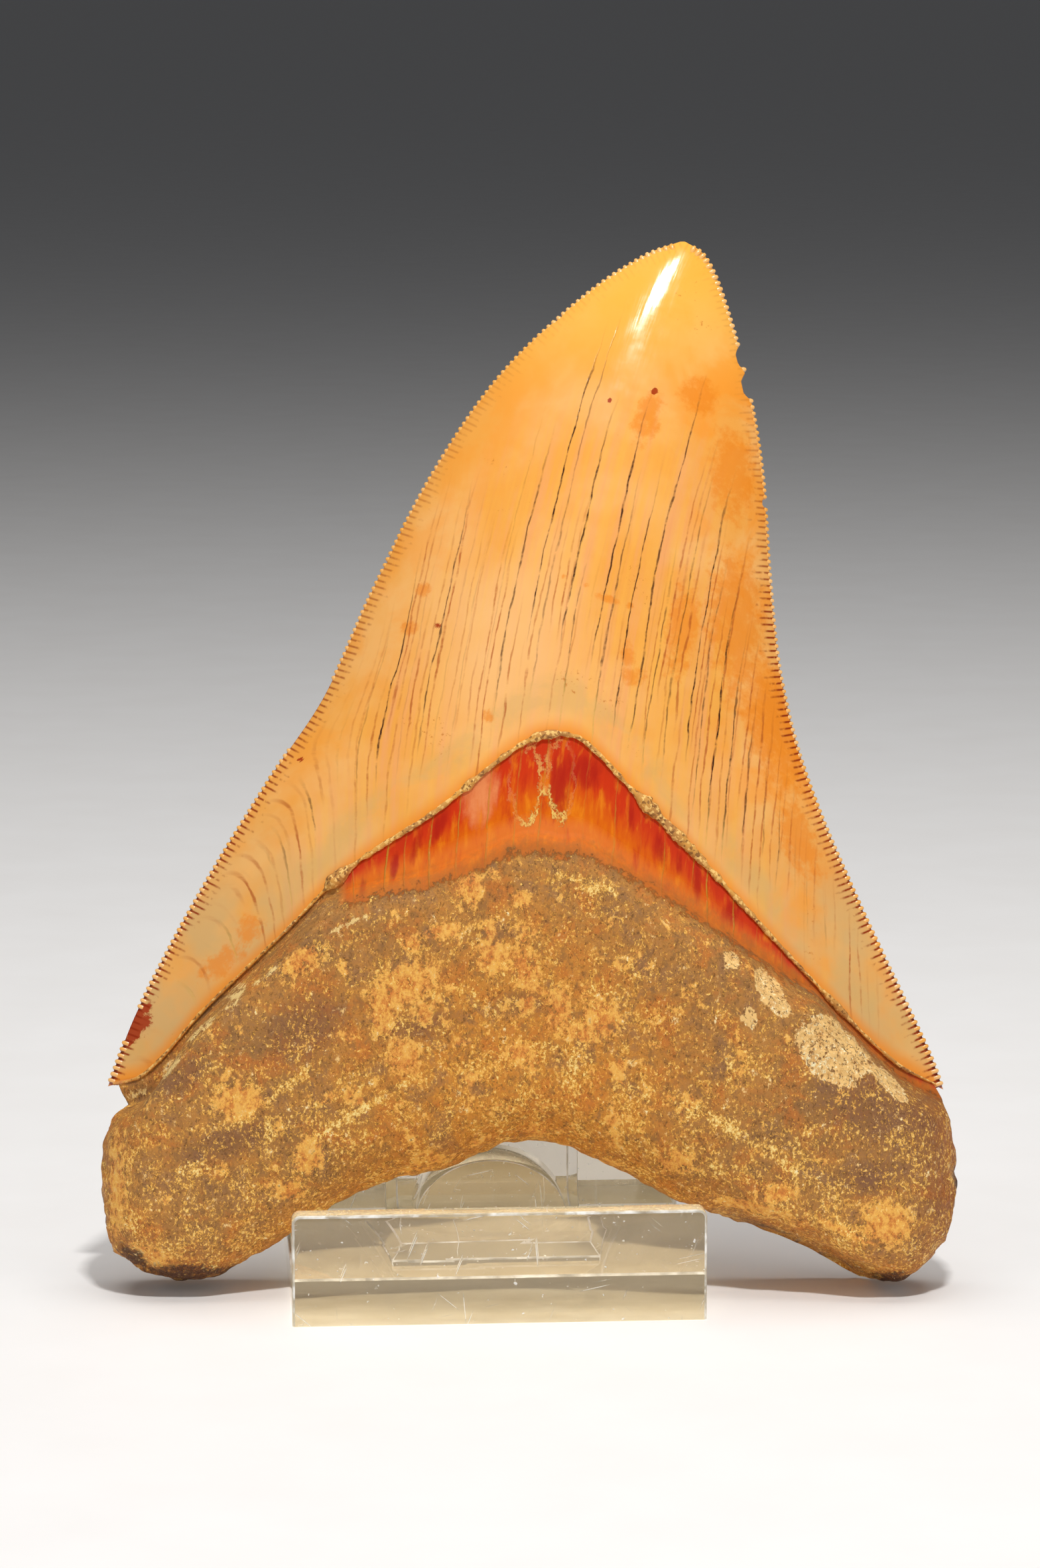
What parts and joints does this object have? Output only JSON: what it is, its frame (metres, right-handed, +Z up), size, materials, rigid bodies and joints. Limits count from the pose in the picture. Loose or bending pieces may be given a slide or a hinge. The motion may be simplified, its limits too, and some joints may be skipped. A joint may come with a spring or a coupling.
{
  "type": "megalodon tooth on display stand",
  "caption": "Large serrated fossil shark tooth with a two-lobed root, leaning back in a small clear acrylic stand with a front lip and a back plate.",
  "frame": {"origin": "centre of the footprint of the whole object's bounding box, on the surface it stands on", "axes": "+Z up; +Y away from the viewer, the way the tooth leans back; +X to the viewer's right, the way the tip slants"},
  "size_m": [0.1062, 0.0566, 0.1268],
  "materials": {
    "tooth": "glossy amber enamel, rough brown root",
    "acrylic": "clear polished acrylic with worn edges"
  },
  "bodies": {
    "root": {"tooth": "tooth", "base_plate": "acrylic", "front_lip": "acrylic", "bent_strip": "acrylic", "heel_block": "acrylic", "back_plate": "acrylic"}
  },
  "joints": []
}
